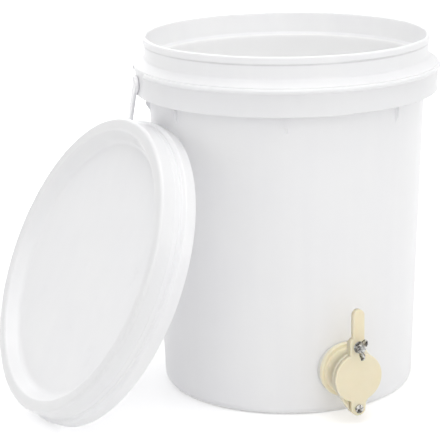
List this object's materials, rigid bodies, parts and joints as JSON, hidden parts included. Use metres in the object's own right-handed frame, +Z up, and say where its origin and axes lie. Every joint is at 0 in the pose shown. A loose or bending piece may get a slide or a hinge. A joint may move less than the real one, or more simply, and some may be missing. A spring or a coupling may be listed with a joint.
{
  "type": "honey bucket with gate",
  "caption": "White plastic pail with a collared rim, strap bail and push-on lid leaning on its side, and a cream swing gate low on the wall that lets honey out.",
  "frame": {"origin": "on the floor, under the pail's axis", "axes": "+Z up along the pail's axis, the gate faces -Y, and the lid leans on the pail's -X side"},
  "size_m": [0.4684, 0.3346, 0.36],
  "materials": {
    "white_polyethylene": "smooth moulded, faintly translucent",
    "pale_rubber": "soft foamed",
    "cream_nylon": "moulded, satin",
    "white_silicone": "soft, satin",
    "stainless_steel": "bright, zinc plated or stainless"
  },
  "bodies": {
    "bucket": {"pail": "white_polyethylene", "gate_body": "cream_nylon", "outer_gasket": "white_silicone", "inner_gasket": "white_silicone", "ring_nut": "cream_nylon", "pivot_screw": "stainless_steel", "pivot_washer": "stainless_steel", "pivot_nut": "stainless_steel", "clamp_bolt": "stainless_steel", "clamp_washer": "stainless_steel"},
    "bail": {"bail": "white_polyethylene"},
    "lid": {"lid": "white_polyethylene", "lid_gasket": "pale_rubber"},
    "flap": {"gate_flap": "cream_nylon"},
    "wing_nut": {"wing_nut": "stainless_steel"}
  },
  "joints": [
    {"name": "bail_swing", "type": "hinge", "parent": "bucket", "child": "bail", "pos_m": [0, 0, 0.3171], "axis": [0.9877, -0.1564, 0], "range_deg": [0, 245]},
    {"name": "lid_take_away", "type": "slide", "parent": "bucket", "child": "lid", "axis": [-0.9007, -0.0709, 0.4286], "range_m": [0, 0.25]},
    {"name": "flap_swing", "type": "hinge", "parent": "bucket", "child": "flap", "pos_m": [0, -0.161, 0.0155], "axis": [0, -1, 0], "range_deg": [0, 90]},
    {"name": "wing_nut_turn", "type": "hinge", "parent": "bucket", "child": "wing_nut", "pos_m": [0, -0.168, 0.0785], "axis": [0, -1, 0], "range_deg": [0, 360]}
  ]
}
